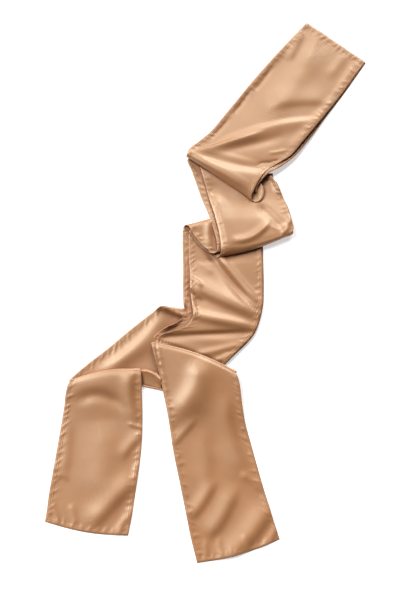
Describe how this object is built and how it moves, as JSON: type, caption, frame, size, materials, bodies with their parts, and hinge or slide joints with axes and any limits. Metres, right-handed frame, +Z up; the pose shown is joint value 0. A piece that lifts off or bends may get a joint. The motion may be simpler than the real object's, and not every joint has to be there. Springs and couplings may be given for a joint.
{
  "type": "satin scarf",
  "caption": "Long narrow satin scarf folded in half and laid down in a zigzag, its two hemmed tails parting at the bottom.",
  "frame": {"origin": "on the surface that the scarf lies on, under the middle of its outline", "axes": "+Z up out of the surface, +Y from the two tails towards the folded end, +X to the right of that"},
  "size_m": [0.49, 0.844, 0.0151],
  "materials": {
    "satin": "glossy satin weave, champagne bronze"
  },
  "bodies": {
    "root": {"top_stretch_upper": "satin", "top_stretch_lower": "satin", "first_pleat": "satin", "second_stretch_upper": "satin", "second_stretch_lower": "satin", "turned_stretch_upper": "satin", "turned_stretch_lower": "satin", "third_stretch_upper": "satin", "third_stretch_lower": "satin", "cross_pleat": "satin", "tail_pleat": "satin", "right_tail": "satin", "cross_stretch": "satin", "left_pleat": "satin", "left_tail": "satin"}
  },
  "joints": []
}
